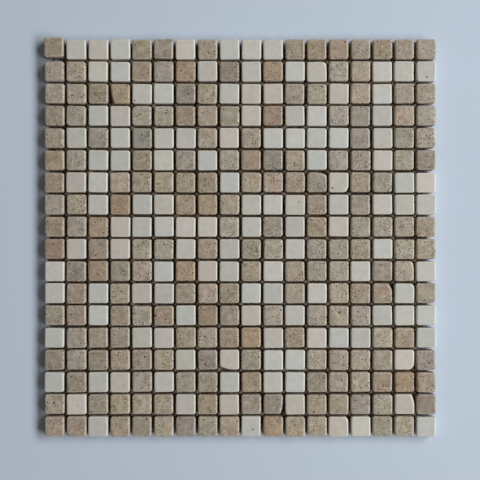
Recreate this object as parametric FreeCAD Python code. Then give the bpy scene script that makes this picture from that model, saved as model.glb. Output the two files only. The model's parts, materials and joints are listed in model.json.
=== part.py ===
"""A sheet of tumbled stone mosaic, lying face up.

Square chips of cream limestone and of travertine stand in rows and columns
on a laid glass-fibre net, and open joints run between them. +X is to the
right, +Y is towards the far edge and +Z is up. The origin is the middle of
the sheet at the underside of the net. All lengths are in millimetres.
"""
import FreeCAD, Part

import math
import os
import random

# Setting out: the columns follow each other along X, the rows along Y
columns = 18
rows = 18
column_joint = 1.94
row_joint = 1.8

# One chip as it is sawn
chip_width = 15.0
chip_length = 15.4
chip_thickness = 8.0

# What tumbling takes off the hard cream chips, at the top edges and at each upright corner
cream_edge_wear = 0.7
cream_least_corner_wear = 0.5
cream_most_corner_wear = 1.0

# What it takes off the softer travertine chips
travertine_edge_wear = 0.9
travertine_least_corner_wear = 1.0
travertine_most_corner_wear = 1.7

# How far one chip differs from the next, to each side of the mean
width_spread = 0.2
length_spread = 0.2
thickness_spread = 0.2
place_spread = 0.22
turn_spread_deg = 0.8
setting_seed = 5

# The laid net: warp threads below, weft threads across them. It is cut smaller than the sheet,
# and its threads run on a little past the outermost crossings.
net_pitch = 4.87
thread_width = 0.9
warp_thickness = 0.25
weft_thickness = 0.25
net_margin = 4.3
thread_tail = 0.5

# Which stone each place holds, from the far row to the near one, left to right:
# c cream limestone, t speckled travertine, g golden travertine, m grey travertine
setting_plan = (
    "tccc ttct ccct tgtt tm",
    "mtcc ttgc mcgc cttc cc",
    "tttg cctt ccct tctc tt",
    "ttcc tttt tcgc ctmc tt",
    "tctc mcct ctcc cctc tt",
    "ttcc tctc tgmt cttc tm",
    "tcct tttt cttt tctt cc",
    "ttcg ccgg tccc tctc cc",
    "ttgc cccc tctc tctt tt",
    "gctc ttct cttc tttc tt",
    "ctgt tcgc ctct ttct tc",
    "ctct cctt tcct cttt ct",
    "ttct ttcg tctc tttc cc",
    "cttt cctt tgct ccct tc",
    "tttt ttct ctcc tttt cm",
    "ctcc tctt cgcc tttt gt",
    "tctt ttct ctmc ttmt cm",
    "ttct ttmt tcgt tcct tc",
)

# Corners that are broken off further than tumbling wears them: for a row and a
# column, both counted from 1, the corner and the length of the break on each side
broken_corners = {
    (2, 13): ("far_right", 2.6),
    (3, 4): ("near_left", 4.2),
    (4, 5): ("far_left", 3.0),
    (7, 13): ("far_right", 3.4),
    (7, 14): ("near_right", 3.8),
    (11, 17): ("far_right", 2.8),
    (12, 16): ("far_right", 3.8),
    (12, 17): ("far_right", 2.6),
    (15, 9): ("near_left", 3.6),
    (15, 17): ("near_right", 3.2),
    (17, 11): ("near_right", 2.8),
    (17, 17): ("far_right", 3.2),
    (18, 14): ("far_right", 2.6),
}

# A chip that slid on the net before the glue took: its row, column and slip
slipped_chips = {(1, 1): (-0.5, 1.3)}

# Corners of a chip, anticlockwise, by the signs of their X and Y
corner_signs = {
    "far_right": (1, 1),
    "far_left": (-1, 1),
    "near_left": (-1, -1),
    "near_right": (1, -1),
}

# Points nearer than this are one point
same_point = 1e-6

# Worked out from the values above
column_pitch = chip_width + column_joint
row_pitch = chip_length + row_joint
sheet_width = columns * chip_width + (columns - 1) * column_joint
sheet_length = rows * chip_length + (rows - 1) * row_joint
net_thickness = warp_thickness + weft_thickness


def outline(width, length, corner_legs, inset, height):
    """The eight points of a chip's outline, moved in by inset, at one height."""
    points = []
    for name, (x_sign, y_sign) in corner_signs.items():
        half_width = width / 2 - inset
        half_length = length / 2 - inset
        leg = max(0.0, corner_legs[name] - 2 * inset)
        on_side = FreeCAD.Vector(x_sign * half_width, y_sign * (half_length - leg), height)
        on_end = FreeCAD.Vector(x_sign * (half_width - leg), y_sign * half_length, height)
        if x_sign == y_sign:
            points += [on_side, on_end]
        else:
            points += [on_end, on_side]
    return points


def facet(points):
    """A flat face through the points, where a point may be given twice in a row."""
    corners = []
    for point in points:
        if not corners or not point.isEqual(corners[-1], same_point):
            corners.append(point)
    if not corners[0].isEqual(corners[-1], same_point):
        corners.append(corners[0])
    return Part.Face(Part.makePolygon(corners))


def band(lower, upper):
    """The facets between two outlines of a chip, one above the other."""
    facets = []
    for index in range(len(lower)):
        following = (index + 1) % len(lower)
        facets.append(facet([lower[index], lower[following], upper[following], upper[index]]))
    return facets


def chip_solid(width, length, thickness, edge_wear, corner_legs):
    """A sawn block with worn corners, whose top edges are worn down to a shoulder."""
    foot = outline(width, length, corner_legs, 0, 0)
    shoulder = outline(width, length, corner_legs, 0, thickness - edge_wear)
    top = outline(width, length, corner_legs, edge_wear, thickness)
    facets = band(foot, shoulder) + band(shoulder, top) + [facet(foot), facet(top)]
    return Part.makeSolid(Part.makeShell(facets))


def spread(dice, size):
    """A draw between minus size and plus size."""
    return dice.uniform(-size, size)


def wear_of(stone):
    """What a stone loses at its top edges, and the least and the most at a corner."""
    if stone == "c":
        return cream_edge_wear, cream_least_corner_wear, cream_most_corner_wear
    return travertine_edge_wear, travertine_least_corner_wear, travertine_most_corner_wear


def worn_corners(dice, row, column, least, most):
    """The length that each corner of the chip in one place has lost."""
    legs = {name: dice.uniform(least, most) for name in corner_signs}
    if (row, column) in broken_corners:
        name, leg = broken_corners[(row, column)]
        legs[name] = leg
    return legs


def set_chip(dice, row, column):
    """The chip in one place, counted from 1, on the net and a little out of true."""
    edge_wear, least_corner_wear, most_corner_wear = wear_of(planned_stone(row, column))
    chip = chip_solid(
        chip_width + spread(dice, width_spread),
        chip_length + spread(dice, length_spread),
        chip_thickness + spread(dice, thickness_spread),
        edge_wear,
        worn_corners(dice, row, column, least_corner_wear, most_corner_wear),
    )
    slip_x, slip_y = slipped_chips.get((row, column), (0, 0))
    x = (column - (columns + 1) / 2) * column_pitch + spread(dice, place_spread) + slip_x
    y = ((rows + 1) / 2 - row) * row_pitch + spread(dice, place_spread) + slip_y
    turn = FreeCAD.Rotation(FreeCAD.Vector(0, 0, 1), spread(dice, turn_spread_deg))
    chip.Placement = FreeCAD.Placement(FreeCAD.Vector(x, y, net_thickness), turn)
    return chip


def planned_stone(row, column):
    """The plan's letter for one place; the plan starts again where it ends."""
    letters = setting_plan[(row - 1) % len(setting_plan)].replace(" ", "")
    return letters[(column - 1) % len(letters)]


def node_of(stone, row):
    """The piece that holds a row's chips of one stone, or all chips of a rare one."""
    if stone == "c":
        return f"cream_row_{row:02d}"
    if stone == "t":
        return f"travertine_row_{row:02d}"
    return {"g": "golden_travertine_chips", "m": "grey_travertine_chips"}[stone]


def all_chips():
    """Every chip of the sheet, by the node it belongs to, centred on the origin."""
    dice = random.Random(setting_seed)
    chips = {}
    for row in range(1, rows + 1):
        for column in range(1, columns + 1):
            name = node_of(planned_stone(row, column), row)
            chips.setdefault(name, []).append(set_chip(dice, row, column))
    reach = Part.makeCompound([chip for group in chips.values() for chip in group]).BoundBox
    to_middle = FreeCAD.Vector(-reach.Center.x, -reach.Center.y, 0)
    for group in chips.values():
        for chip in group:
            chip.translate(to_middle)
    return chips


def thread_places(extent):
    """Places of as many parallel threads as fit across an extent, about its middle."""
    room = extent - 2 * net_margin - 2 * thread_tail - thread_width
    spaces = math.floor(room / net_pitch)
    return [(index - spaces / 2) * net_pitch for index in range(spaces + 1)]


def thread_length(crossed):
    """The length of a thread that crosses the threads in these places, with its two tails."""
    return crossed[-1] - crossed[0] + thread_width + 2 * thread_tail


def thread(width, length, thickness, x, y, z):
    """A flat glass thread, given by its middle and its underside."""
    corner = FreeCAD.Vector(x - width / 2, y - length / 2, z)
    return Part.makeBox(width, length, thickness, corner)


def warp_threads():
    """The lower threads, which run from the near edge to the far one."""
    length = thread_length(thread_places(sheet_length))
    return [thread(thread_width, length, warp_thickness, x, 0, 0) for x in thread_places(sheet_width)]


def weft_threads():
    """The upper threads, which run from left to right and carry the chips."""
    width = thread_length(thread_places(sheet_width))
    places = thread_places(sheet_length)
    return [thread(width, thread_width, weft_thickness, 0, y, warp_thickness) for y in places]


def write(name, solids):
    """Write one piece, or the like pieces of one node, to parts/NAME.step."""
    Part.makeCompound(solids).exportStep(f"parts/{name}.step")


os.makedirs("parts", exist_ok=True)
for node_name, group in all_chips().items():
    write(node_name, group)
write("net_warp_threads", warp_threads())
write("net_weft_threads", weft_threads())
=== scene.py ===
"""The looks of the mosaic sheet: tumbled chips, their net and its glue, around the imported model."""
import json
import math
import random
from collections import namedtuple

import bmesh
import bpy
import numpy as np
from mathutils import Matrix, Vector


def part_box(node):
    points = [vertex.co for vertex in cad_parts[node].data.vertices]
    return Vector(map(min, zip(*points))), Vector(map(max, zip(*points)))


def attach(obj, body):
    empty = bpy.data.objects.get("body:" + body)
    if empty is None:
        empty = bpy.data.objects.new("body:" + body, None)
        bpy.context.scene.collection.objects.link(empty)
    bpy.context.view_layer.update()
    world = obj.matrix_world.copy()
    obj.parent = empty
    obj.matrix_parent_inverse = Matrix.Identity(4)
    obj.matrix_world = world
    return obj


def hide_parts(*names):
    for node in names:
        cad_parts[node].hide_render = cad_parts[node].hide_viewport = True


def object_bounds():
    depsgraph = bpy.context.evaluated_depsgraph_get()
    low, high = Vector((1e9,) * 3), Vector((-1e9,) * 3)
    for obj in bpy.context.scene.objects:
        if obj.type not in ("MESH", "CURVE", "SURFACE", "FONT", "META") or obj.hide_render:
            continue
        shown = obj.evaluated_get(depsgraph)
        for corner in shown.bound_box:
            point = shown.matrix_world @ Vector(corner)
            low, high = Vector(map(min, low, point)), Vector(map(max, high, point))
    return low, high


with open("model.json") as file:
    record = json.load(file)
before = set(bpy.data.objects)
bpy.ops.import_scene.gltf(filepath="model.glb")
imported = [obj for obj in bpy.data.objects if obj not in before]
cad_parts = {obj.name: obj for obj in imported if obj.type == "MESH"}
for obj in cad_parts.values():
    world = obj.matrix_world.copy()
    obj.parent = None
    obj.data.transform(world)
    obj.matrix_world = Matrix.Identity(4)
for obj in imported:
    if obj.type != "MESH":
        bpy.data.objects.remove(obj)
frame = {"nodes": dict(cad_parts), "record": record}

cad_low, cad_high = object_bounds()

MM = 0.001
BODY = "root"
STONE_SLOTS = ("cream_limestone", "speckled_travertine", "golden_travertine", "grey_travertine")

# Form of a tumbled chip: how wide its top edge and upright corners are rounded, how far in from
# its sides the face begins to fall and on what radius, and how unevenly it is worn
ChipForm = namedtuple("ChipForm", "edge corner crown_reach crown_radius waviness corner_loss bite_depth")
CREAM_FORM = ChipForm(0.65 * MM, 1.3 * MM, 1.4 * MM, 3.0 * MM, 0.06 * MM, 0.5 * MM, 0.3 * MM)
TRAVERTINE_FORM = ChipForm(0.85 * MM, 1.65 * MM, 1.55 * MM, 2.8 * MM, 0.12 * MM, 0.6 * MM, 0.7 * MM)
FOOT_RADIUS = 0.4 * MM
CORNER_STEPS = 3
SIDE_STEPS = 12
EDGE_STEPS = 4
WALL_HEIGHTS = (0.6, 0.3)
# How far the rim mask reaches in from the edge of the face and down the wall from the shoulder; it pales the
# rims, partly as worn stone and partly as a painted highlight
RIM_REACH = 0.8 * MM
WALL_RIM_REACH = 2.5 * MM

# A corner cut by more than this is a broken one
BROKEN_FROM = 2.5 * MM
SAME_POINT = 1e-6

# Single pits that stand out, one to a chip: for a row and a column, both counted from 1 from the
# far left, the pit's place from the middle of the chip and its radius, in millimetres
SINGLE_PITS = {
    (1, 6): (2.2, -1.5, 0.7),
    (1, 8): (0.9, -2.5, 0.8),
    (2, 18): (0.2, -4.6, 0.8),
    (3, 2): (-3.1, -1.3, 1.0),
    (3, 5): (-5.6, -5.5, 0.9),
    (3, 12): (-1.0, -2.8, 0.7),
    (3, 13): (3.7, 5.6, 0.8),
    (4, 6): (1.9, 2.2, 0.8),
    (5, 5): (-0.4, 2.3, 0.8),
    (6, 15): (-3.8, 1.8, 0.6),
    (7, 14): (-4.9, -4.4, 0.9),
    (7, 15): (-3.7, 1.9, 0.7),
    (8, 12): (2.4, 2.3, 0.7),
    (12, 6): (1.9, -5.0, 0.6),
    (12, 7): (-4.3, 5.0, 0.8),
    (13, 6): (-6.4, 0.2, 1.0),
    (13, 7): (1.9, 6.6, 0.5),
    (13, 13): (-1.6, -6.2, 0.6),
    (13, 14): (0.3, 2.3, 1.1),
    (14, 17): (-2.2, 3.1, 0.5),
    (15, 5): (2.3, 2.3, 0.9),
    (15, 8): (-0.8, -1.6, 0.5),
    (15, 10): (5.8, 2.3, 0.7),
    (15, 13): (1.1, -2.3, 0.6),
    (16, 13): (4.7, 3.9, 0.8),
    (17, 1): (-0.5, 1.4, 1.0),
    (17, 12): (0.5, 1.4, 0.5),
    (17, 13): (-2.6, -5.4, 0.8),
    (18, 5): (3.6, 6.0, 0.8),
    (18, 9): (5.8, 4.0, 0.8),
    (18, 10): (1.4, -2.4, 0.9),
}

# How far the facets of the broken corners reach across the sheet and along it, in millimetres, by
# row and column
BREAKS = {
    (2, 13): (1.7, 1.9),
    (3, 4): (2.6, 8.5),
    (4, 5): (2.0, 2.0),
    (7, 13): (4.8, 2.2),
    (7, 14): (2.4, 2.9),
    (11, 17): (1.6, 3.0),
    (12, 16): (3.0, 4.8),
    (12, 17): (1.6, 1.6),
    (15, 9): (6.0, 2.4),
    (15, 17): (2.5, 2.9),
    (17, 11): (1.7, 5.8),
    (17, 17): (2.0, 5.4),
    (18, 14): (1.6, 2.1),
}

# A broken corner: how wide its upper edge is rounded, how gently it runs over into the sides, how
# fine and how deep its roughness is, and between which depths its paleness fades; that paleness joins
# the rim mask, which is partly worn stone and partly a painted highlight
BREAK_ROUND = 1.3 * MM
BREAK_BLEND = 2.4 * MM
BREAK_GRAIN = 500.0
BREAK_ROUGHNESS = 0.8 * MM
PALE_DEPTHS = (1.5 * MM, 3.0 * MM)

# Wavy faces and the bites out of the edges: how fine their noise is, and from where it counts
WAVE_GRAIN = 160.0
WAVE_MIDDLE = 0.55
BITE_GRAIN = 420.0
BITE_RANGE = (0.62, 0.8)

# What is drawn for each chip and each strand, and what is added to the seed for it
CHIP_DRAWS = (
    ("tone", "FLOAT", 11),
    ("warmth", "FLOAT", 23),
    ("greenness", "FLOAT", 29),
    ("stone_shift", "FLOAT_VECTOR", 37),
)
STRAND_DRAWS = (("stone_shift", "FLOAT_VECTOR", 0),)

# How far apart in the noise two pieces lie, in metres for their shape and in millimetres for their look
SHAPE_SHIFT = 10.0
LOOK_SHIFT = 500.0

# Section of a net thread, in shares of its width and its thickness, and its width between crossings
THREAD_SECTION = ((-0.5, 0.5), (-0.3, 0.0), (0.3, 0.0), (0.5, 0.5), (0.3, 1.0), (-0.3, 1.0))
THREAD_WAIST = 0.7

# How uneven a strand is: the length of its patches, its least shares of width and of height, and
# how far it wanders to the sides
StrandForm = namedtuple("StrandForm", "patch_length narrowest lowest wander")
THREAD_FORM = StrandForm(3 * MM, 0.8, 0.85, 0.3 * MM)
BEAD_FORM = StrandForm(5 * MM, 0.6, 0.3, 0.5 * MM)
KNOT_FORM = StrandForm(5 * MM, 0.6, 0.6, 0.5 * MM)

# Between which values of the noise strands change in width and in height
WIDTH_RANGE = (0.36, 0.56)
HEIGHT_RANGE = (0.36, 0.64)

# Section of the glue that has risen in a joint: places across it and heights over the floor
GLUE_SECTION = (
    (-1.3 * MM, 0.08 * MM),
    (1.3 * MM, 0.08 * MM),
    (1.2 * MM, 0.42 * MM),
    (0.5 * MM, 0.95 * MM),
    (-0.5 * MM, 0.95 * MM),
    (-1.2 * MM, 0.42 * MM),
)
GLUE_STEP = 1.5 * MM
GLUE_END = (0.5, 0.6)

# A knot of glue that was squeezed up where two joints cross: places along it, with its share of
# the bead's width and height
KNOT_STATIONS = (
    (-2.8 * MM, 0.7, 0.6),
    (-1.5 * MM, 1.4, 2.4),
    (0.0, 1.7, 3.2),
    (1.5 * MM, 1.4, 2.4),
    (2.8 * MM, 0.7, 0.6),
)
KNOT_WIDTHS = (0.85, 1.2)
KNOT_HEIGHTS = (0.8, 1.35)
BROKEN_CORNER_KNOT = (0.8, 1, 0.7)

# Where the glue ends against the net, and between which millimetres its ends differ
GLUE_PAST_LEFT = 3.0 * MM
GLUE_SHORT_NEAR = 3.0 * MM
GLUE_SHORT_RIGHT = 1.3 * MM
COLUMN_END_SPREAD = (-1.5, 1.5)
LEFT_END_SPREAD = (-1, 1)
RIGHT_END_SPREAD = (-2, 1)
GLUE_SEED = 8

# The photograph: its frame in pixels, and where the sheet lies in it
PHOTO_SIZE = 480
SHEET_LEFT, SHEET_RIGHT = 43.7, 436.5
SHEET_TOP, SHEET_BOTTOM = 37.0, 437.0
CAMERA_HEIGHT = 0.625
SENSOR_WIDTH = 36

# The floor, the window with its bearing from +X and its height over the horizon, and the room's light
FLOOR_REACH = 4.0
FLOOR_COLOUR = (200, 215, 234)
FLOOR_ROUGHNESS = 0.8
WINDOW_BEARING = 6
WINDOW_ELEVATION = 41.5
WINDOW_DISTANCE = 2.8
WINDOW_SIZE = (3.8, 0.9)
WINDOW_POWER = 100
WINDOW_TINT = (1.0, 0.985, 0.96)
SKY_COLOUR = (1.0, 0.93, 0.82, 1.0)
SKY_STRENGTH = 0.1


def colour(red, green, blue):
    """A colour given as display values from 0 to 255, as light."""
    parts = []
    for value in (red, green, blue):
        share = value / 255
        parts.append(share / 12.92 if share <= 0.04045 else ((share + 0.055) / 1.055) ** 2.4)
    return (*parts, 1.0)


# Node trees

def new_tree(name, kind, inputs, outputs):
    """A node group with named sockets, what it is given, and where its results go."""
    tree = bpy.data.node_groups.new(name, kind)
    for label, sort, value in inputs:
        socket = tree.interface.new_socket(label, in_out="INPUT", socket_type="NodeSocket" + sort)
        if value is not None:
            socket.default_value = value
    for label, sort in outputs:
        tree.interface.new_socket(label, in_out="OUTPUT", socket_type="NodeSocket" + sort)
    return tree, tree.nodes.new("NodeGroupInput").outputs, tree.nodes.new("NodeGroupOutput").inputs


def feed(tree, socket, value):
    """Give a socket another node's output, or else a plain value."""
    if isinstance(value, bpy.types.NodeSocket):
        tree.links.new(value, socket)
    else:
        socket.default_value = value


def put(tree, kind, wires=None, **settings):
    """A node with its settings, whose inputs take a value or another node's output."""
    node = tree.nodes.new(kind)
    for name, value in settings.items():
        setattr(node, name, value)
    for name, value in (wires or {}).items():
        feed(tree, node.inputs[name], value)
    return node


def labelled(values):
    """Values by the labels of the inputs that they are for."""
    return {name.replace("_", " ").title(): value for name, value in values.items()}


def math_of(tree, operation, *values):
    """The result of one Math node."""
    return put(tree, "ShaderNodeMath", dict(enumerate(values)), operation=operation).outputs[0]


def plus(tree, first, second):
    """The sum of two values."""
    return math_of(tree, "ADD", first, second)


def minus(tree, first, second):
    """What is left of a value when another is taken off."""
    return math_of(tree, "SUBTRACT", first, second)


def times(tree, first, second):
    """The product of two values."""
    return math_of(tree, "MULTIPLY", first, second)


def vector_of(tree, operation, *values):
    """The result of one Vector Math node that gives a vector."""
    node = put(tree, "ShaderNodeVectorMath", operation=operation)
    for index, value in enumerate(values):
        feed(tree, node.inputs["Scale" if operation == "SCALE" and index == 1 else index], value)
    return node.outputs[0]


def parts_of(tree, vector):
    """The three parts of a vector."""
    return put(tree, "ShaderNodeSeparateXYZ", {0: vector}).outputs


def joined(tree, **parts):
    """The vector with these parts, named X, Y and Z."""
    return put(tree, "ShaderNodeCombineXYZ", parts).outputs[0]


def ramp_of(tree, value, low, high, new_low=0.0, new_high=1.0):
    """A smooth change from one value to another as a third one rises."""
    wires = {"Value": value, "From Min": low, "From Max": high, "To Min": new_low, "To Max": new_high}
    return put(tree, "ShaderNodeMapRange", wires, interpolation_type="SMOOTHSTEP").outputs["Result"]


def mix_of(tree, share, first, second):
    """A mix of two colours."""
    return put(tree, "ShaderNodeMix", {0: share, 6: first, 7: second}, data_type="RGBA").outputs[2]


def noise_of(tree, place, scale, detail=2.0, roughness=0.5):
    """A noise texture's value."""
    wires = {"Vector": place, "Scale": scale, "Detail": detail, "Roughness": roughness}
    return put(tree, "ShaderNodeTexNoise", wires).outputs[0]


def attribute_of(tree, name, output="Fac"):
    """A number, or as its Vector a vector, that the surface carries."""
    return put(tree, "ShaderNodeAttribute", attribute_name=name).outputs[output]


def read_of(tree, name, kind="FLOAT_VECTOR"):
    """A vector or a number that the geometry carries."""
    return put(tree, "GeometryNodeInputNamedAttribute", {"Name": name}, data_type=kind).outputs[0]


def store_of(tree, geometry, name, value, kind, domain):
    """The geometry with one more value that it carries."""
    wires = {"Geometry": geometry, "Name": name, "Value": value}
    return put(tree, "GeometryNodeStoreNamedAttribute", wires, data_type=kind, domain=domain).outputs[0]


def laid_blanks(tree, given, draws):
    """A blank on every point, turned and sized as the point says, with what is drawn for it."""
    blank = put(tree, "GeometryNodeObjectInfo", {"Object": given["Blank"]})
    laid = put(tree, "GeometryNodeInstanceOnPoints", {
        "Points": given["Places"],
        "Instance": blank.outputs["Geometry"],
        "Rotation": joined(tree, Z=read_of(tree, "turn", "FLOAT")),
        "Scale": read_of(tree, "size"),
    }).outputs[0]
    for name, kind, extra in draws:
        seed = plus(tree, given["Seed"], float(extra))
        luck = put(tree, "FunctionNodeRandomValue", {"Seed": seed}, data_type=kind)
        luck = luck.outputs[0 if kind == "FLOAT_VECTOR" else 1]
        laid = store_of(tree, laid, name, luck, kind, "INSTANCE")
    return put(tree, "GeometryNodeRealizeInstances", {"Geometry": laid}).outputs[0]


def shape_sample(tree):
    """Where each piece takes its noise from, and how far that is shifted for it."""
    shift = vector_of(tree, "SCALE", read_of(tree, "stone_shift"), SHAPE_SHIFT)
    return vector_of(tree, "ADD", put(tree, "GeometryNodeInputPosition").outputs[0], shift), shift


def finish_tree(tree, result, geometry, push, material):
    """The tree, which ends by pushing the points, smoothing the faces and setting the material."""
    steps = {
        "GeometryNodeSetPosition": {"Offset": push},
        "GeometryNodeSetShadeSmooth": {},
        "GeometryNodeRealizeInstances": {},
        "GeometryNodeSetMaterial": {"Material": material},
    }
    for kind, wires in steps.items():
        geometry = put(tree, kind, {"Geometry": geometry, **wires}).outputs[0]
    tree.links.new(geometry, result[0])
    return tree


# Meshes and objects

def add_object(name, data):
    """A new object in the scene."""
    made = bpy.data.objects.new(name, data)
    bpy.context.scene.collection.objects.link(made)
    return made


def give_points(mesh, name, values):
    """Let every point of a mesh carry a number or a vector."""
    values = np.array(values, np.float32)
    kind, field = ("FLOAT", "value") if values.ndim == 1 else ("FLOAT_VECTOR", "vector")
    mesh.attributes.new(name, kind, "POINT").data.foreach_set(field, values.ravel())


def run_tree(name, mesh, tree, values):
    """The plain mesh that a Geometry Nodes tree makes of a mesh, given those values that it takes."""
    maker = add_object(name + "_maker", mesh)
    modifier = maker.modifiers.new("making", "NODES")
    modifier.node_group = tree
    for item in tree.interface.items_tree:
        if item.item_type == "SOCKET" and item.in_out == "INPUT" and item.name in values:
            modifier[item.identifier] = values[item.name]
    evaluated = maker.evaluated_get(bpy.context.evaluated_depsgraph_get())
    made = bpy.data.meshes.new_from_object(evaluated)
    bpy.data.objects.remove(maker)
    made.name = name
    return add_object(name, made)


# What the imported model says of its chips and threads

def solids_of(node):
    """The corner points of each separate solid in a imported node."""
    shape = bmesh.new()
    shape.from_mesh(node.data)
    bmesh.ops.remove_doubles(shape, verts=shape.verts, dist=SAME_POINT)
    seen = set()
    solids = []
    for start in shape.verts:
        if start in seen:
            continue
        seen.add(start)
        found, waiting = [], [start]
        while waiting:
            vertex = waiting.pop()
            found.append(tuple(vertex.co))
            for edge in vertex.link_edges:
                other = edge.other_vert(vertex)
                if other not in seen:
                    seen.add(other)
                    waiting.append(other)
        solids.append(np.array(found))
    shape.free()
    return solids


def turned(points, angle):
    """Plan points turned about the origin."""
    spin = np.array([[math.cos(angle), -math.sin(angle)], [math.sin(angle), math.cos(angle)]])
    return points @ spin.T


def chip_facts(points):
    """Place, turn, size and broken corner of the chip with these corner points."""
    low, high = points[:, 2].min(), points[:, 2].max()
    foot = points[points[:, 2] < low + FOOT_RADIUS][:, :2]
    middle = (foot.min(0) + foot.max(0)) / 2
    around = foot[np.argsort(np.arctan2(*(foot - middle).T[::-1]))]
    sides = np.roll(around, -1, axis=0) - around
    lengths = np.hypot(*sides.T)
    four = np.argsort(lengths)[-4:]
    angles = np.arctan2(sides[four, 1], sides[four, 0])
    angle = float(np.mean((angles + math.pi / 4) % (math.pi / 2) - math.pi / 4))
    square = turned(around - middle, -angle)
    centre = (square.min(0) + square.max(0)) / 2
    size = square.max(0) - square.min(0)
    place = middle + turned(centre[None], angle)[0]
    legs = (size / 2 - abs(square - centre)).max(axis=1)
    worst = int(np.argmax(legs))
    broken = (0.0, 0.0, 0.0)
    if legs[worst] > BROKEN_FROM:
        broken = (*np.sign(square[worst] - centre), legs[worst])
    return {"place": (*place, low), "turn": angle, "size": (*size, high - low), "broken": broken}


# The blank from which every chip is made

def rounded(across, along, half_width, half_length, radius):
    """The point of a rounded outline that stands for one on the edge of the square from -1 to 1."""
    radius = min(radius, half_width, half_length)
    x, y = across * half_width, along * half_length
    inner_x = min(max(x, radius - half_width), half_width - radius)
    inner_y = min(max(y, radius - half_length), half_length - radius)
    reach = math.hypot(x - inner_x, y - inner_y)
    if reach == 0:
        return x, y
    return inner_x + (x - inner_x) * radius / reach, inner_y + (y - inner_y) * radius / reach


def chip_stops(half, corner):
    """Where the grid's lines cross a side, closer together round the corners."""
    straight = 1 - corner / half
    bend = [
        straight + (1 - straight) * math.tan(math.radians(45 * step / CORNER_STEPS))
        for step in range(1, CORNER_STEPS + 1)
    ]
    middle = [straight * (2 * step / SIDE_STEPS - 1) for step in range(SIDE_STEPS + 1)]
    return [-stop for stop in reversed(bend)] + middle + bend


def fall_of(form, distance):
    """How far the face has fallen at a distance from the side of the chip."""
    return max(0.0, form.crown_reach - distance) ** 2 / (2 * form.crown_radius)


def chip_blank(form, width, length, height):
    """A tumbled chip standing on the origin, as a grid over its face and rings down its walls."""
    half_width, half_length = width / 2, length / 2
    stops = chip_stops(min(half_width, half_length), form.corner)
    count = len(stops)
    places, rims = [], []
    for along in stops:
        for across in stops:
            reach = max(abs(across), abs(along))
            if reach < SAME_POINT:
                places.append((0, 0, height))
                rims.append(0.0)
                continue
            x, y = rounded(
                across / reach,
                along / reach,
                (half_width - form.edge) * reach,
                (half_length - form.edge) * reach,
                (form.corner - form.edge) * reach,
            )
            distance = half_width - (half_width - form.edge) * reach
            places.append((x, y, height - fall_of(form, distance)))
            rims.append(max(0.0, 1 - (1 - reach) * half_width / RIM_REACH))
    faces = [
        (row * count + column, row * count + column + 1,
         (row + 1) * count + column + 1, (row + 1) * count + column)
        for row in range(count - 1)
        for column in range(count - 1)
    ]
    last = count - 1
    border = [(column, 0) for column in range(last)] + [(last, row) for row in range(last)]
    border += [(last - column, last) for column in range(last)] + [(0, last - row) for row in range(last)]
    ring = [row * count + column for column, row in border]
    shoulder = wall_rings(form, height)[EDGE_STEPS - 1][1]
    for inset, level in wall_rings(form, height):
        below = []
        for column, row in border:
            x, y = rounded(
                stops[column], stops[row], half_width - inset, half_length - inset, form.corner - inset
            )
            below.append(len(places))
            places.append((x, y, level))
            rims.append(max(0.0, 1 - max(0.0, shoulder - level) / WALL_RIM_REACH))
        for index in range(len(ring)):
            following = (index + 1) % len(ring)
            faces.append((ring[index], below[index], below[following], ring[following]))
        ring = below
    faces.append(tuple(reversed(ring)))
    mesh = bpy.data.meshes.new("chip_blank")
    mesh.from_pydata(places, [], faces)
    give_points(mesh, "chip_place", places)
    give_points(mesh, "rim", rims)
    return add_object("chip_blank", mesh)


def wall_rings(form, height):
    """Inset and height of each ring from the worn edge, where the face's slope goes on, to the foot."""
    start = math.atan((form.crown_reach - form.edge) / form.crown_radius)
    radius = form.edge / (1 - math.sin(start))
    top = height - fall_of(form, form.edge)
    rings = []
    for step in range(1, EDGE_STEPS + 1):
        angle = start + (math.pi / 2 - start) * step / EDGE_STEPS
        inset = radius * (1 - math.sin(angle))
        rings.append((inset, top - radius * (math.cos(start) - math.cos(angle))))
    rings += [(0.0, height * share) for share in WALL_HEIGHTS]
    return rings + [(0.0, FOOT_RADIUS), (FOOT_RADIUS, 0.0)]


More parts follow.
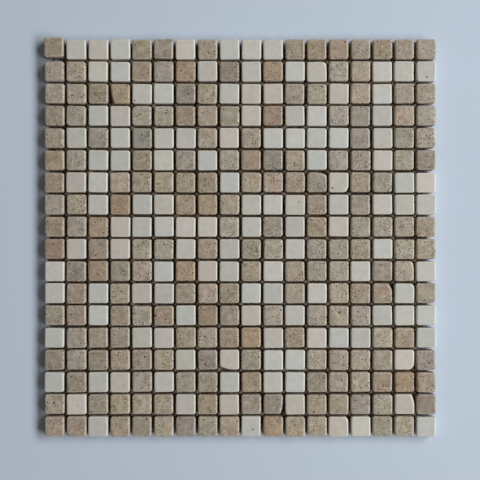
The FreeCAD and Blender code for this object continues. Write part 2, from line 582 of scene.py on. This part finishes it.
def chip_tree():
    """Geometry Nodes that set a blank on every point and wear each one differently."""
    tree, given, result = new_tree(
        "Tumbled Chips",
        "GeometryNodeTree",
        [
            ("Places", "Geometry", None),
            ("Blank", "Object", None),
            ("Stone", "Material", None),
            ("Half Sides", "Float", 15 * MM),
            ("Height", "Float", 8 * MM),
            ("Corner Radius", "Float", TRAVERTINE_FORM.corner),
            ("Waviness", "Float", TRAVERTINE_FORM.waviness),
            ("Corner Loss", "Float", TRAVERTINE_FORM.corner_loss),
            ("Bite Depth", "Float", TRAVERTINE_FORM.bite_depth),
            ("Seed", "Int", 1),
        ],
        [("Chips", "Geometry")],
    )
    chips = laid_blanks(tree, given, CHIP_DRAWS)
    sample, shift = shape_sample(tree)
    inside = read_of(tree, "chip_place")
    x, y, level = parts_of(tree, inside)
    to_corner = joined(tree, X=math_of(tree, "SIGN", x), Y=math_of(tree, "SIGN", y))

    # Each corner loses a length of its own beyond its rounding, which takes 2 - sqrt(2) of its radius
    corner_key = vector_of(tree, "ADD", to_corner, shift)
    luck = put(tree, "ShaderNodeTexWhiteNoise", {"Vector": corner_key}, noise_dimensions="3D").outputs[0]
    loss = times(tree, luck, given["Corner Loss"])
    diagonal = plus(tree, math_of(tree, "ABSOLUTE", x), math_of(tree, "ABSOLUTE", y))
    rounding = times(tree, given["Corner Radius"], 2 - math.sqrt(2))
    limit = minus(tree, minus(tree, given["Half Sides"], rounding), loss)
    beyond = math_of(tree, "MAXIMUM", minus(tree, diagonal, limit), 0.0)
    corner_push = vector_of(tree, "SCALE", to_corner, times(tree, beyond, -0.5))

    # A broken corner ends in one rough facet, whose upper edge is worn round and pale; that paleness joins
    # the rim mask, which is partly worn stone and partly a painted highlight
    facet_x, facet_y, facet_distance = parts_of(tree, read_of(tree, "facet"))
    moved_x, moved_y, _ = parts_of(tree, vector_of(tree, "ADD", inside, corner_push))
    along = plus(tree, times(tree, moved_x, facet_x), times(tree, moved_y, facet_y))
    rough = times(tree, minus(tree, noise_of(tree, sample, BREAK_GRAIN), 0.5), BREAK_ROUGHNESS)
    under = minus(tree, given["Height"], level)
    over = math_of(tree, "MAXIMUM", minus(tree, BREAK_ROUND, under), 0.0)
    fall = math_of(tree, "DIVIDE", times(tree, over, over), BREAK_ROUND)
    past = plus(tree, minus(tree, along, facet_distance), minus(tree, fall, rough))
    back = times(tree, math_of(tree, "SMOOTH_MAX", past, 0.0, BREAK_BLEND), -1.0)
    broken_push = vector_of(tree, "SCALE", joined(tree, X=facet_x, Y=facet_y), back)
    pale = times(tree, ramp_of(tree, past, -RIM_REACH, 0.0), ramp_of(tree, under, *PALE_DEPTHS, 1.0, 0.0))
    pale = times(tree, pale, math_of(tree, "GREATER_THAN", facet_distance, 0.0))
    rim = math_of(tree, "MAXIMUM", read_of(tree, "rim", "FLOAT"), pale)
    chips = store_of(tree, chips, "rim", rim, "FLOAT", "POINT")

    # Walls and faces are a little wavy, and small bites are out of the edges
    normal = put(tree, "GeometryNodeInputNormal").outputs[0]
    wave = times(tree, minus(tree, noise_of(tree, sample, WAVE_GRAIN), WAVE_MIDDLE), given["Waviness"])
    bites = ramp_of(tree, noise_of(tree, sample, BITE_GRAIN, 1.0), *BITE_RANGE)
    bites = times(tree, times(tree, bites, read_of(tree, "rim", "FLOAT")), given["Bite Depth"])
    out = vector_of(tree, "SCALE", normal, minus(tree, wave, bites))
    push = vector_of(tree, "ADD", vector_of(tree, "ADD", corner_push, broken_push), out)
    return finish_tree(tree, result, chips, push, given["Stone"])


def places_mesh(name, facts, blank_size):
    """One point for each chip or strand, with what the tree needs to know of it."""
    mesh = bpy.data.meshes.new(name)
    mesh.from_pydata([fact["place"] for fact in facts], [], [])
    give_points(mesh, "turn", [fact["turn"] for fact in facts])
    give_points(mesh, "size", [np.divide(fact["size"], blank_size) for fact in facts])
    for label in ("facet", "pit"):
        give_points(mesh, label, [fact.get(label, (0, 0, 0)) for fact in facts])
    return mesh


# The net's threads and the glue in the joints

def box_facts(points):
    """Middle, underside, size and direction of a thread with these corner points."""
    low, high = points.min(0), points.max(0)
    size = high - low
    middle = (low + high) / 2
    turn = 0.0 if size[0] > size[1] else math.pi / 2
    return {"place": (middle[0], middle[1], low[2]), "turn": turn, "size": size}


def strand_blank(name, stations, section):
    """A strand along X with closed ends: its section, at each station's share of its width and height."""
    count = len(section)
    places, across = [], []
    for x, wide, high in stations:
        for y, z in section:
            places.append((x, y * wide, z * high))
            across.append((0.0, y * wide, z * high))
    faces = []
    for ring in range(len(stations) - 1):
        for index in range(count):
            following = (index + 1) % count
            near, far = ring * count, (ring + 1) * count
            faces.append((near + index, near + following, far + following, far + index))
    faces.append(tuple(range(count)))
    faces.append(tuple(reversed(range(len(places) - count, len(places)))))
    mesh = bpy.data.meshes.new(name)
    mesh.from_pydata(places, [], faces)
    give_points(mesh, "across", across)
    shape = bmesh.new()
    shape.from_mesh(mesh)
    bmesh.ops.recalc_face_normals(shape, faces=shape.faces)
    shape.to_mesh(mesh)
    shape.free()
    return add_object(name, mesh)


def thread_blank(name, length, width, thickness, crossings):
    """A thread that is flat and wide at each crossing, and drawn together between them."""
    stations = [(-length / 2, 1.0, 1.0)]
    for near, far in zip(crossings, crossings[1:]):
        stations += [(near, 1.0, 1.0), ((near + far) / 2, THREAD_WAIST, 1.0)]
    stations += [(crossings[-1], 1.0, 1.0), (length / 2, 1.0, 1.0)]
    return strand_blank(name, stations, [(y * width, z * thickness) for y, z in THREAD_SECTION])


def glue_blank(name, length):
    """The glue along a joint, which tapers at its two ends."""
    steps = round(length / GLUE_STEP)
    stations = [(length * (step / steps - 0.5), 1.0, 1.0) for step in range(steps + 1)]
    for end in (0, -1):
        stations[end] = (stations[end][0], *GLUE_END)
    return strand_blank(name, stations, GLUE_SECTION)


def strand_tree():
    """Geometry Nodes that lay a blank strand on every point and make each one uneven."""
    tree, given, result = new_tree(
        "Laid Strands",
        "GeometryNodeTree",
        [
            ("Places", "Geometry", None),
            ("Blank", "Object", None),
            ("Finish", "Material", None),
            ("Patch Length", "Float", 4 * MM),
            ("Narrowest", "Float", 0.8),
            ("Lowest", "Float", 0.8),
            ("Wander", "Float", 0.1 * MM),
            ("Seed", "Int", 1),
        ],
        [("Strands", "Geometry")],
    )
    strands = laid_blanks(tree, given, STRAND_DRAWS)
    sample, _ = shape_sample(tree)
    scale = math_of(tree, "DIVIDE", 1.0, given["Patch Length"])

    def patches(offset):
        return noise_of(tree, vector_of(tree, "ADD", sample, (offset, offset, offset)), scale)

    # Each point moves in the plane of its section, and the section is then turned with its strand
    _, y, z = parts_of(tree, read_of(tree, "across"))
    width = ramp_of(tree, patches(1.0), *WIDTH_RANGE, given["Narrowest"], 1.0)
    height = ramp_of(tree, patches(2.0), *HEIGHT_RANGE, given["Lowest"], 1.0)
    sideways = times(tree, minus(tree, patches(3.0), 0.5), given["Wander"])
    push_y = plus(tree, times(tree, y, minus(tree, width, 1.0)), sideways)
    push = joined(tree, Y=push_y, Z=times(tree, z, minus(tree, height, 1.0)))
    wires = {"Vector": push, "Angle": read_of(tree, "turn", "FLOAT")}
    push = put(tree, "ShaderNodeVectorRotate", wires, rotation_type="Z_AXIS").outputs[0]
    return finish_tree(tree, result, strands, push, given["Finish"])


# Effects that the stones share

def stone_place_group():
    """Place on a chip in millimetres, with every chip cut from another part of the rock."""
    tree, _, result = new_tree("Stone Place", "ShaderNodeTree", [], [("Place", "Vector")])
    here = vector_of(tree, "SCALE", put(tree, "ShaderNodeTexCoord").outputs["Object"], 1 / MM)
    shift = vector_of(tree, "SCALE", attribute_of(tree, "stone_shift", "Vector"), LOOK_SHIFT)
    tree.links.new(vector_of(tree, "ADD", here, shift), result["Place"])
    return tree


def mask_tree(name, *numbers):
    """The start of a shader group that makes a mask from a place and some numbers."""
    inputs = [("Place", "Vector", None)] + [(label, "Float", value) for label, value in numbers]
    return new_tree(name, "ShaderNodeTree", inputs, [("Mask", "Float")])


def ragged(tree, here, place, scale, detail, reach):
    """A place moved about by noise, so that what is drawn there has a ragged outline."""
    noise = put(tree, "ShaderNodeTexNoise", {"Vector": place, "Scale": scale, "Detail": detail})
    off = vector_of(tree, "SUBTRACT", noise.outputs["Color"], (0.5, 0.5, 0.5))
    return vector_of(tree, "ADD", here, vector_of(tree, "SCALE", off, reach))


def speckle_group():
    """Small dark flecks and pits, in a share of the cells of a cell pattern."""
    numbers = (("Spacing", 1.0), ("Share", 0.5), ("Size", 0.35), ("Raggedness", 0.3))
    tree, given, result = mask_tree("Speckle", *numbers)
    place = ragged(tree, given["Place"], given["Place"], 1.7, 3.0, given["Raggedness"])
    scale = math_of(tree, "DIVIDE", 1.0, given["Spacing"])
    cells = put(tree, "ShaderNodeTexVoronoi", {"Vector": place, "Scale": scale})
    luck = put(tree, "ShaderNodeSeparateColor", {0: cells.outputs["Color"]})
    chosen = math_of(tree, "LESS_THAN", luck.outputs[0], given["Share"])
    size = times(tree, given["Size"], math_of(tree, "MULTIPLY_ADD", luck.outputs[1], *FLECK_SIZES))
    dots = ramp_of(tree, cells.outputs["Distance"], times(tree, size, FLECK_CORE), size, 1.0, 0.0)
    tree.links.new(times(tree, dots, chosen), result["Mask"])
    return tree


def single_pit_group():
    """The one larger pit that a chip may have, at the place that it carries."""
    tree, given, result = mask_tree("Single Pit")
    here = ragged(tree, attribute_of(tree, "chip_place", "Vector"), given["Place"], 0.9, 2.0, 2.0 * MM)
    here_x, here_y, _ = parts_of(tree, here)
    pit_x, pit_y, radius = parts_of(tree, attribute_of(tree, "pit", "Vector"))
    across = minus(tree, here_x, pit_x)
    along = minus(tree, here_y, pit_y)
    reach = math_of(tree, "SQRT", plus(tree, times(tree, across, across), times(tree, along, along)))
    mask = ramp_of(tree, minus(tree, reach, radius), -PIT_SOFTNESS, 0.0, 1.0, 0.0)
    mask = times(tree, mask, math_of(tree, "GREATER_THAN", radius, 0.0))
    tree.links.new(mask, result["Mask"])
    return tree


def rim_group():
    """Where the edges of a chip are paled: partly wear from tumbling and handling, partly a painted
    highlight.
    """
    tree, given, result = mask_tree("Worn And Highlit Rim")
    patchy = ramp_of(tree, noise_of(tree, given["Place"], 0.6, 3.0), 0.3, 0.6, 0.45, 1.0)
    near = ramp_of(tree, attribute_of(tree, "rim"), 0.35, 0.9)
    tree.links.new(times(tree, near, patchy), result["Mask"])
    return tree


def glue_film_group():
    """Where dried glue films the underside of a chip, and stains the foot of its walls."""
    tree, given, result = mask_tree("Glue Film", ("Level", 1.1))
    _, _, height = parts_of(tree, put(tree, "ShaderNodeTexCoord").outputs["Object"])
    height = times(tree, height, 1 / MM)
    noise = noise_of(tree, given["Place"], 0.35, 4.0, 0.6)
    edge = plus(tree, given["Level"], times(tree, noise, GLUE_FILM_SPREAD))
    mask = times(tree, math_of(tree, "LESS_THAN", height, edge), ramp_of(tree, noise, 0.36, 0.5))
    tree.links.new(mask, result["Mask"])
    return tree


# Flecks: the spread of their sizes and the least of them, and the share of a fleck that is fully
# dark; the soft outline of a single pit; and how unevenly the glue film ends, in millimetres
FLECK_SIZES = (0.9, 0.45)
FLECK_CORE = 0.55
PIT_SOFTNESS = 0.3 * MM
GLUE_FILM_SPREAD = 1.2

STONE_PLACE = stone_place_group()
SPECKLE = speckle_group()
SINGLE_PIT = single_pit_group()
RIM = rim_group()
GLUE_FILM = glue_film_group()

FLECK = colour(80, 67, 50)
GLUE = colour(92, 76, 56)

# How far chips of one stone differ to each side, as shares of the light: in brightness, in warmth and
# in greenness, how much greener the cool ones are, and how far the tint drifts within one chip
ToneSpread = namedtuple("ToneSpread", "light warmth green cool_green drift")
CREAM_TONES = ToneSpread(0.08, 0.045, 0.018, 0.011, 1.0)
TRAVERTINE_TONES = ToneSpread(0.145, 0.053, 0.034, 0.003, 1.5)
GOLDEN_TONES = ToneSpread(0.13, 0.05, 0.04, -0.017, 1.8)
GREY_TONES = ToneSpread(0.2, 0.075, 0.023, 0.022, 1.4)

# How much warmer dark chips are, and how much the green drifts within a chip against its spread
DARK_WARMTH = 0.16
GREEN_DRIFT = 2.2

# How pale the rims are, partly as worn stone and partly as a painted highlight, how well flecks, pinholes and
# light grains cover, how common coarse pits are, and the contrast of the grain
WEAR_AND_HIGHLIGHT_PALENESS = 0.55
FLECK_COVER = 0.95
PINHOLE_COVER = 0.8
GRAIN_COVER = 0.65
COARSE_SHARE = 0.4
GRAIN_CONTRAST = 1.15

# How much smoother a stone is where it is worn, and how high its grain stands against a pit's depth
TRAVERTINE_POLISH, TRAVERTINE_RELIEF = 0.36, 0.35
LIMESTONE_POLISH, LIMESTONE_RELIEF = 0.16, 0.12


def group_of(tree, group, **wires):
    """The first output of a shader group that is placed in a material."""
    return put(tree, "ShaderNodeGroup", labelled(wires), node_tree=group).outputs[0]


def new_material(name):
    """A material, its node tree, and the place on the stone there."""
    material = bpy.data.materials.new(name)
    material.use_nodes = True
    return material, material.node_tree, group_of(material.node_tree, STONE_PLACE)


def dress(material, base_colour, roughness, height, distance, gloss):
    """The material, once its shader has what changes over the surface."""
    tree = material.node_tree
    shader = tree.nodes["Principled BSDF"]
    shader.inputs["Specular IOR Level"].default_value = gloss
    bump = put(tree, "ShaderNodeBump", {"Height": height, "Distance": distance, "Strength": 1.0})
    tree.links.new(base_colour, shader.inputs["Base Color"])
    tree.links.new(roughness, shader.inputs["Roughness"])
    tree.links.new(bump.outputs[0], shader.inputs["Normal"])
    return material


def swing_of(tree, value, size):
    """A value from 0 to 1 as one from minus size to plus size."""
    return math_of(tree, "MULTIPLY_ADD", value, 2 * size, -size)


def tone_of(tree, shade, place, spread):
    """A colour that differs from chip to chip, and in its tint also a little within one."""
    drift = put(tree, "ShaderNodeTexNoise", {"Vector": place, "Scale": 0.3, "Detail": 2.0}).outputs["Color"]
    drift = put(tree, "ShaderNodeSeparateColor", {0: drift})
    warmth = swing_of(tree, attribute_of(tree, "warmth"), 1.0)
    warmth = plus(tree, warmth, swing_of(tree, drift.outputs[0], spread.drift))
    green = swing_of(tree, attribute_of(tree, "greenness"), spread.green)
    green_drift = swing_of(tree, drift.outputs[1], GREEN_DRIFT * spread.drift * spread.green)
    green = minus(tree, plus(tree, green, green_drift), times(tree, warmth, spread.cool_green))
    bright = swing_of(tree, attribute_of(tree, "tone"), spread.light)
    light = plus(tree, bright, 1.0)
    warm = minus(tree, times(tree, warmth, spread.warmth), times(tree, bright, DARK_WARMTH))
    gains = joined(tree, X=plus(tree, light, warm), Y=plus(tree, light, green), Z=minus(tree, light, warm))
    return vector_of(tree, "MULTIPLY", shade, gains)


def aged(tree, place, shade, spread, light, pits, cover, dirt):
    """A stone's colour in each chip's own tone, under its pale rims, pits and glue, and the rim mask; the
    rims' paleness is partly wear and partly a painted highlight.
    """
    rim_wear_and_highlight = group_of(tree, RIM, place=place)
    shade = tone_of(tree, shade, place, spread)
    # Paler rims: partly worn stone, partly a painted highlight
    shade = mix_of(tree, times(tree, rim_wear_and_highlight, WEAR_AND_HIGHLIGHT_PALENESS), shade, light)
    shade = mix_of(tree, times(tree, pits, cover), shade, dirt)
    return mix_of(tree, group_of(tree, GLUE_FILM, place=place), shade, GLUE), rim_wear_and_highlight


def travertine(name, pale, dark, rust, light, fleck_share, spread):
    """Brown travertine, mottled, with light grains and many fine dark pits."""
    material, tree, place = new_material(name)

    # Pits, of which some parts of the rock have more
    bold = ramp_of(tree, noise_of(tree, place, 0.11, 1.0), 0.34, 0.66, 0.15, 1.25)
    share = times(tree, bold, fleck_share)
    fine = group_of(tree, SPECKLE, place=place, spacing=1.0, share=share, size=0.36)
    share = times(tree, bold, COARSE_SHARE)
    coarse = group_of(tree, SPECKLE, place=place, spacing=2.1, share=share, size=0.3, raggedness=0.9)
    small = math_of(tree, "MAXIMUM", fine, coarse)
    pits = math_of(tree, "MAXIMUM", small, group_of(tree, SINGLE_PIT, place=place))

    # Clouds, rusty spots and light grains
    grain = minus(tree, noise_of(tree, place, 1.05, 2.0, 0.55), 0.5)
    grain = times(tree, grain, times(tree, bold, GRAIN_CONTRAST))
    clouds = plus(tree, noise_of(tree, place, 0.22, 5.0, 0.55), grain)
    shade = mix_of(tree, ramp_of(tree, clouds, 0.22, 0.78), dark, pale)
    spots = ramp_of(tree, noise_of(tree, place, 0.45, 3.0), 0.5, 0.75, 0.0, 0.5)
    shade = mix_of(tree, spots, shade, rust)
    grains = group_of(tree, SPECKLE, place=place, spacing=1.15, share=0.45, size=0.42, raggedness=0.7)
    shade = mix_of(tree, times(tree, grains, times(tree, bold, GRAIN_COVER)), shade, light)
    # The rims pale towards the light grains' colour, partly as wear and partly as a painted highlight
    shade, rim_wear_and_highlight = aged(tree, place, shade, spread, light, pits, FLECK_COVER, FLECK)

    matt = ramp_of(tree, noise_of(tree, place, 1.5, 3.0), 0.3, 0.7, 0.55, 0.78)
    roughness = minus(tree, matt, times(tree, rim_wear_and_highlight, TRAVERTINE_POLISH))
    height = minus(tree, times(tree, noise_of(tree, place, 2.6, 4.0), TRAVERTINE_RELIEF), pits)
    return dress(material, shade, roughness, height, 0.25 * MM, gloss=0.5)


def limestone(name):
    """Cream limestone, nearly even in colour, honed and with a few pinholes."""
    material, tree, place = new_material(name)
    pinholes = group_of(tree, SPECKLE, place=place, spacing=4.5, share=0.12, size=0.09, raggedness=0.8)
    pits = math_of(tree, "MAXIMUM", pinholes, group_of(tree, SINGLE_PIT, place=place))
    clouds = ramp_of(tree, noise_of(tree, place, 0.22, 6.0, 0.7), 0.25, 0.75)
    shade = mix_of(tree, clouds, colour(195, 193, 186), colour(208, 207, 202))
    # The rims' pale colour, for wear and for a painted highlight, and the colour of the pits
    light, dirt = colour(232, 229, 220), colour(110, 92, 70)
    shade, rim_wear_and_highlight = aged(tree, place, shade, CREAM_TONES, light, pits, PINHOLE_COVER, dirt)

    honed = ramp_of(tree, noise_of(tree, place, 0.7, 3.0), 0.3, 0.7, 0.38, 0.52)
    roughness = minus(tree, honed, times(tree, rim_wear_and_highlight, LIMESTONE_POLISH))
    height = minus(tree, times(tree, noise_of(tree, place, 1.1, 3.0), LIMESTONE_RELIEF), pits)
    return dress(material, shade, roughness, height, 0.2 * MM, gloss=0.4)


def glue(name, deep, pale):
    """Dried glue, uneven in colour and gloss."""
    material, tree, place = new_material(name)
    clouds = ramp_of(tree, noise_of(tree, place, 0.16, 5.0, 0.6), 0.34, 0.66)
    roughness = ramp_of(tree, noise_of(tree, place, 1.2, 2.0), 0.35, 0.65, 0.4, 0.7)
    height = noise_of(tree, place, 1.8, 4.0)
    return dress(material, mix_of(tree, clouds, deep, pale), roughness, height, 0.2 * MM, gloss=0.4)


def glass_net(name):
    """Glass-fibre thread, grey where it is bare and brown where glue has soaked it."""
    material, tree, place = new_material(name)
    soaked = ramp_of(tree, noise_of(tree, place, 0.3, 4.0, 0.6), 0.38, 0.58)
    bare = mix_of(tree, noise_of(tree, place, 6.0, 2.0), colour(140, 134, 122), colour(186, 180, 166))
    roughness = ramp_of(tree, noise_of(tree, place, 1.0, 2.0), 0.3, 0.7, 0.5, 0.75)
    height = noise_of(tree, place, 5.0, 3.0)
    return dress(material, mix_of(tree, soaked, bare, GLUE), roughness, height, 0.1 * MM, gloss=0.35)


STONES = {
    "cream_limestone": limestone("cream_limestone"),
    "speckled_travertine": travertine(
        "speckled_travertine", pale=colour(190, 180, 165), dark=colour(147, 137, 121),
        rust=colour(170, 150, 128), light=colour(208, 199, 185), fleck_share=0.75, spread=TRAVERTINE_TONES
    ),
    "golden_travertine": travertine(
        "golden_travertine", pale=colour(181, 163, 143), dark=colour(149, 132, 112),
        rust=colour(168, 138, 111), light=colour(198, 181, 162), fleck_share=0.5, spread=GOLDEN_TONES
    ),
    "grey_travertine": travertine(
        "grey_travertine", pale=colour(178, 171, 161), dark=colour(140, 133, 124),
        rust=colour(155, 144, 133), light=colour(197, 190, 180), fleck_share=0.7, spread=GREY_TONES
    ),
}
NET = glass_net("glass_fibre_net")
JOINT_GLUE = glue("joint_glue", deep=colour(90, 73, 52), pale=colour(136, 115, 90))
KNOT_GLUE = glue("knot_glue", deep=colour(104, 92, 81), pale=colour(182, 166, 151))


# Chips, threads and glue in place of the plain ones

def counts_of(facts):
    """How many columns and rows of chips there are."""
    rows = sum(name.startswith("cream_row") for name in facts)
    return sum(len(found) for found in facts.values()) // rows, rows


def facet_of(signs, across, along, chip_size):
    """Direction of a broken corner's facet in the plan, and how far it lies from the chip's middle."""
    x_sign, y_sign = signs
    length = math.hypot(across, along)
    distance = (along * chip_size[0] / 2 + across * chip_size[1] / 2 - across * along) / length
    return x_sign * along / length, y_sign * across / length, distance


def give_marks(facts, chip_size):
    """Tell the chips that have one of their single pit and of the facet of their broken corner."""
    columns, rows = counts_of(facts)
    chips = [fact for found in facts.values() for fact in found]
    places = np.array([fact["place"][:2] for fact in chips])
    left, near = places.min(0)
    right, far = places.max(0)
    for fact, (x, y) in zip(chips, places):
        column = 1 + round((x - left) / (right - left) * (columns - 1))
        row = 1 + round((far - y) / (far - near) * (rows - 1))
        fact["pit"] = [value * MM for value in SINGLE_PITS.get((row, column), (0, 0, 0))]
        *signs, leg = fact["broken"]
        if leg:
            across, along = BREAKS.get((row, column), (leg / MM, leg / MM))
            fact["facet"] = facet_of(signs, across * MM, along * MM, chip_size)


def lay_chips(facts, slots):
    """A tumbled chip in place of every plain one, node by node."""
    blank_size = np.median([fact["size"] for found in facts.values() for fact in found], axis=0)
    give_marks(facts, blank_size)
    blanks = {form: chip_blank(form, *blank_size) for form in (CREAM_FORM, TRAVERTINE_FORM)}
    tree = chip_tree()
    for number, name in enumerate(facts):
        form = CREAM_FORM if slots[name] == "cream_limestone" else TRAVERTINE_FORM
        piece = run_tree(name + "_tumbled", places_mesh(name + "_places", facts[name], blank_size), tree, {
            "Blank": blanks[form],
            "Stone": STONES[slots[name]],
            "Half Sides": (blank_size[0] + blank_size[1]) / 2,
            "Height": blank_size[2],
            "Corner Radius": form.corner,
            "Seed": 100 * number,
            **labelled(form._asdict()),
        })
        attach(piece, BODY)
        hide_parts(name)
    for blank in blanks.values():
        bpy.data.objects.remove(blank)


def lay_threads(tree, node, crossed, seed):
    """An uneven thread in place of every plain one of a node, pinched between those it crosses."""
    threads = [box_facts(points) for points in solids_of(frame["nodes"][node])]
    across = 0 if threads[0]["turn"] == 0 else 1
    crossings = sorted(box_facts(points)["place"][across] for points in solids_of(frame["nodes"][crossed]))
    size = threads[0]["size"]
    blank = thread_blank(node + "_blank", max(size[:2]), min(size[:2]), size[2], crossings)
    for thread in threads:
        thread["size"] = (1, 1, 1)
    piece = lay_strands(tree, node + "_laid", blank, threads, THREAD_FORM, NET, seed)
    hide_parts(node)


def joint_lines(values, count):
    """The middles of the joints between so many rows or columns, from where their chips lie."""
    low, high = min(values), max(values)
    pitch = (high - low) / (count - 1)
    groups = [[value for value in values if round((value - low) / pitch) == index] for index in range(count)]
    means = [sum(group) / len(group) for group in groups]
    return [(near + far) / 2 for near, far in zip(means, means[1:])]


def lay_glue(tree, facts):
    """The glue that has risen in the joints, to about where the net ends."""
    dice = random.Random(GLUE_SEED)
    chips = [fact["place"] for found in facts.values() for fact in found]
    columns, rows = counts_of(facts)
    low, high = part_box("net_warp_threads")
    full = high.y - low.y
    beads = []
    lines_x = joint_lines([chip[0] for chip in chips], columns)
    lines_y = joint_lines([chip[1] for chip in chips], rows)
    for x in lines_x:
        near = low.y + GLUE_SHORT_NEAR + dice.uniform(*COLUMN_END_SPREAD) * MM
        far = high.y + dice.uniform(*COLUMN_END_SPREAD) * MM
        size = ((far - near) / full, 1, 1)
        beads.append({"place": (x, (near + far) / 2, 0), "turn": math.pi / 2, "size": size})
    for y in lines_y:
        left = low.x - GLUE_PAST_LEFT + dice.uniform(*LEFT_END_SPREAD) * MM
        right = high.x - GLUE_SHORT_RIGHT + dice.uniform(*RIGHT_END_SPREAD) * MM
        size = ((right - left) / full, 1, 1)
        beads.append({"place": ((left + right) / 2, y, 0), "turn": 0.0, "size": size})
    knots = []
    for x in lines_x:
        for y in lines_y:
            wide = dice.uniform(*KNOT_WIDTHS)
            size = (wide, wide, dice.uniform(*KNOT_HEIGHTS))
            knots.append({"place": (x, y, 0), "turn": dice.uniform(0, math.pi), "size": size})
    knots += [broken_corner_knot(fact) for found in facts.values() for fact in found if fact["broken"][2]]
    bead_blank = glue_blank("glue_blank", full)
    knot_blank = strand_blank("knot_blank", KNOT_STATIONS, GLUE_SECTION)
    lay_strands(tree, "joint_glue", bead_blank, beads, BEAD_FORM, JOINT_GLUE, GLUE_SEED)
    lay_strands(tree, "glue_knots", knot_blank, knots, KNOT_FORM, KNOT_GLUE, GLUE_SEED)


def broken_corner_knot(fact):
    """The place of the glue that fills the gap where a corner is broken off a chip."""
    x_sign, y_sign, leg = fact["broken"]
    x = fact["place"][0] + x_sign * (fact["size"][0] - leg / 2) / 2
    y = fact["place"][1] + y_sign * (fact["size"][1] - leg / 2) / 2
    return {"place": (x, y, 0), "turn": -x_sign * y_sign * math.pi / 4, "size": BROKEN_CORNER_KNOT}


def lay_strands(tree, name, blank, places, form, finish, seed):
    """One piece of uneven strands, from their blank and their places."""
    piece = run_tree(name, places_mesh(name + "_places", places, (1, 1, 1)), tree, {
        "Blank": blank,
        "Finish": finish,
        "Seed": seed,
        **labelled(form._asdict()),
    })
    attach(piece, BODY)
    bpy.data.objects.remove(blank)
    return piece


def lay_sheet():
    """Everything that the photograph shows of the sheet."""
    slots = {row["node"]: row["material_slot"] for row in frame["record"]["subparts"]}
    nodes = sorted(name for name, slot in slots.items() if slot in STONE_SLOTS)
    facts = {name: [chip_facts(points) for points in solids_of(frame["nodes"][name])] for name in nodes}
    lay_chips(facts, slots)
    tree = strand_tree()
    lay_threads(tree, "net_warp_threads", crossed="net_weft_threads", seed=1)
    lay_threads(tree, "net_weft_threads", crossed="net_warp_threads", seed=2)
    lay_glue(tree, facts)


lay_sheet()


# Surroundings

def add_camera():
    """The camera that looks straight down on the sheet, as in the photograph."""
    # Metres for one pixel of the photograph, at the height of the chips' faces
    scale = (cad_high.x - cad_low.x) / (SHEET_RIGHT - SHEET_LEFT)
    data = bpy.data.cameras.new("camera")
    data.sensor_width = SENSOR_WIDTH
    data.lens = SENSOR_WIDTH * CAMERA_HEIGHT / (PHOTO_SIZE * scale)
    camera = add_object("camera", data)
    middle = (cad_low + cad_high) / 2
    camera.location = (
        middle.x + (PHOTO_SIZE / 2 - (SHEET_LEFT + SHEET_RIGHT) / 2) * scale,
        middle.y - (PHOTO_SIZE / 2 - (SHEET_TOP + SHEET_BOTTOM) / 2) * scale,
        cad_high.z + CAMERA_HEIGHT,
    )
    bpy.context.scene.camera = camera


def add_floor():
    """A plain pale floor at the height of the net's underside."""
    mesh = bpy.data.meshes.new("floor")
    corners = [(x * FLOOR_REACH, y * FLOOR_REACH, 0) for x, y in ((-1, -1), (1, -1), (1, 1), (-1, 1))]
    mesh.from_pydata(corners, [], [(0, 1, 2, 3)])
    floor = add_object("floor", mesh)
    material = bpy.data.materials.new("floor")
    material.use_nodes = True
    shader = material.node_tree.nodes["Principled BSDF"]
    shader.inputs["Base Color"].default_value = colour(*FLOOR_COLOUR)
    shader.inputs["Roughness"].default_value = FLOOR_ROUGHNESS
    mesh.materials.append(material)


def add_window_light():
    """A soft light as wide and as high as a row of windows, which faces the sheet."""
    data = bpy.data.lights.new("window_light", "AREA")
    data.shape = "RECTANGLE"
    data.size, data.size_y = WINDOW_SIZE
    data.energy = WINDOW_POWER
    data.color = WINDOW_TINT
    bearing, elevation = math.radians(WINDOW_BEARING), math.radians(WINDOW_ELEVATION)
    level = math.cos(elevation)
    towards = Vector((level * math.cos(bearing), level * math.sin(bearing), math.sin(elevation)))
    lamp = add_object("window_light", data)
    lamp.location = towards * WINDOW_DISTANCE
    lamp.rotation_euler = (-lamp.location).to_track_quat("-Z", "Y").to_euler()


def add_sky():
    """An even, slightly warm light from the room all round."""
    world = bpy.data.worlds.new("studio")
    world.use_nodes = True
    background = world.node_tree.nodes["Background"]
    background.inputs["Color"].default_value = SKY_COLOUR
    background.inputs["Strength"].default_value = SKY_STRENGTH
    bpy.context.scene.world = world


add_camera()
add_floor()
add_window_light()
add_sky()
bpy.context.scene.view_settings.view_transform = "Standard"
